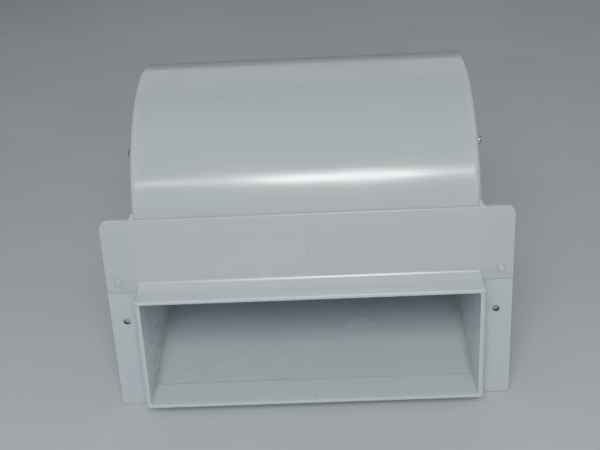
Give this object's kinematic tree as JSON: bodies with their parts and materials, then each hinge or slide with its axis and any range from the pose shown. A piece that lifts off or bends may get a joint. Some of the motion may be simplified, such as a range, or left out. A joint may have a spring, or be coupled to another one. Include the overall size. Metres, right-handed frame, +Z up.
{
  "type": "roof vent blower scroll",
  "caption": "Double-inlet centrifugal blower for a roof vent: two-part milky plastic scroll casing with a flanged rectangular outlet, squirrel-cage wheel and motor inside.",
  "frame": {"origin": "middle of the flat front seat on the top flange strip, the face that bears against the panel", "axes": "+Z up, +X along the shaft, the outlet faces -Y"},
  "size_m": [0.25, 0.2051, 0.1989],
  "materials": {
    "casing_plastic": "milky translucent moulded plastic, semi-gloss",
    "ring_plastic": "milky moulded plastic, satin",
    "wheel_plastic": "light grey glass-filled plastic, satin",
    "screw_steel": "bright zinc plating",
    "motor_steel": "zinc-plated deep-drawn steel",
    "lamination_steel": "stacked electrical steel",
    "copper_wire": "enamelled copper winding",
    "bush_bronze": "oil-filled sintered bronze",
    "hub_brass": "turned brass",
    "black_rubber": "moulded rubber"
  },
  "bodies": {
    "casing": {"upper_shell": "casing_plastic", "lower_shell": "casing_plastic", "ear_peg_left": "casing_plastic", "ear_peg_right": "casing_plastic", "rear_screw_left": "screw_steel", "rear_screw_right": "screw_steel", "inlet_ring": "ring_plastic", "motor_bracket": "ring_plastic", "ring_screw_left_1": "screw_steel", "ring_screw_left_2": "screw_steel", "ring_screw_left_3": "screw_steel", "ring_screw_left_4": "screw_steel", "ring_screw_right_1": "screw_steel", "ring_screw_right_2": "screw_steel", "ring_screw_right_3": "screw_steel", "ring_screw_right_4": "screw_steel", "motor_stator": "lamination_steel", "winding_front": "copper_wire", "winding_rear": "copper_wire", "motor_can": "motor_steel", "motor_end_cap": "motor_steel", "bush_front": "bush_bronze", "bush_rear": "bush_bronze", "motor_lead_grommet": "black_rubber", "mount_grommet_1": "black_rubber", "mount_grommet_2": "black_rubber", "mount_grommet_3": "black_rubber", "motor_screw_1": "screw_steel", "motor_screw_2": "screw_steel", "motor_screw_3": "screw_steel"},
    "wheel": {"impeller": "wheel_plastic", "impeller_hub": "hub_brass", "grub_screw": "screw_steel", "motor_shaft": "screw_steel", "motor_rotor": "lamination_steel"}
  },
  "joints": [
    {"name": "wheel_spin", "type": "hinge", "parent": "casing", "child": "wheel", "pos_m": [0, 0.082, 0.002], "axis": [-1, 0, 0], "continuous": true}
  ]
}
